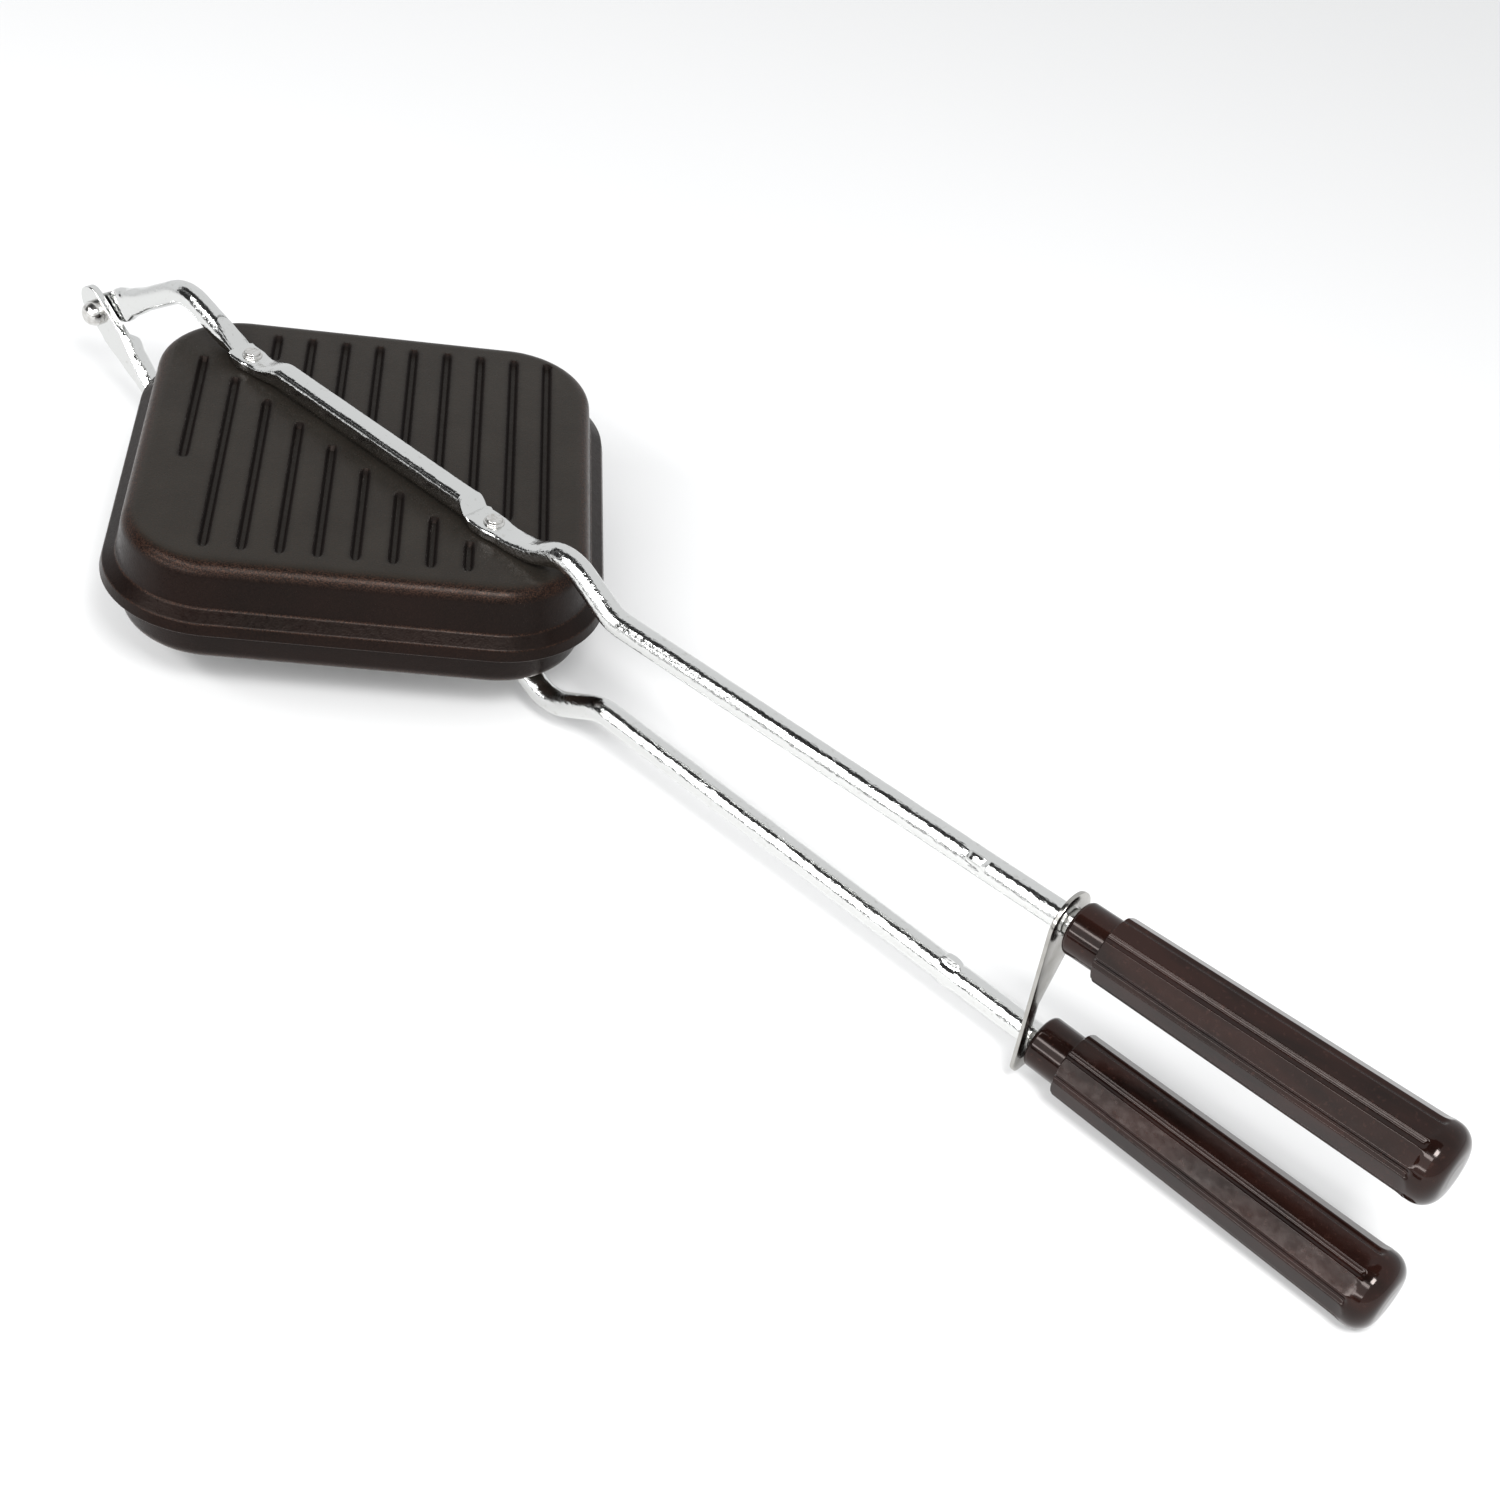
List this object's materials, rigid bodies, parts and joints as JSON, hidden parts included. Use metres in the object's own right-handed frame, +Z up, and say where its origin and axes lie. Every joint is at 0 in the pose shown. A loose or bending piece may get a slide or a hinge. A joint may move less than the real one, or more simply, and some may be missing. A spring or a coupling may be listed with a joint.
{
  "type": "hinged pie iron",
  "caption": "Hinged pie iron for toasting a filled sandwich: two grooved square clamshell trays, each riveted under a bent rod arm with a fluted handle and a swinging latch.",
  "frame": {"origin": "middle of the lower tray's flat outer face, with the iron closed and level", "axes": "+X along the trays' diagonal towards the handles, +Y across it, +Z up towards the upper tray's outer face"},
  "size_m": [0.4256, 0.1492, 0.0576],
  "materials": {
    "tray_coating": "satin non-stick coating",
    "arm_chrome": "bright plated",
    "rivet_steel": "plated, worn by the setting tool",
    "latch_nickel": "nickel plated",
    "handle_phenolic": "moulded gloss",
    "insert_brass": "turned"
  },
  "bodies": {
    "lower": {"lower_tray": "tray_coating", "lower_arm": "arm_chrome", "hinge_rivet": "rivet_steel", "lower_front_rivet": "rivet_steel", "lower_rear_rivet": "rivet_steel", "lower_handle": "handle_phenolic", "lower_handle_insert": "insert_brass"},
    "upper": {"upper_tray": "tray_coating", "upper_arm": "arm_chrome", "upper_front_rivet": "rivet_steel", "upper_rear_rivet": "rivet_steel", "upper_handle": "handle_phenolic", "upper_handle_insert": "insert_brass"},
    "latch": {"latch_clip": "latch_nickel"}
  },
  "joints": [
    {"name": "open", "type": "hinge", "parent": "lower", "child": "upper", "pos_m": [-0.10658, 0, 0.0142], "axis": [0, -1, 0], "range_deg": [0, 180]},
    {"name": "latch_swing", "type": "hinge", "parent": "upper", "child": "latch", "pos_m": [0.21918, 0, 0.03136], "axis": [-0.9996, 0, -0.0283], "range_deg": [0, 150]}
  ]
}
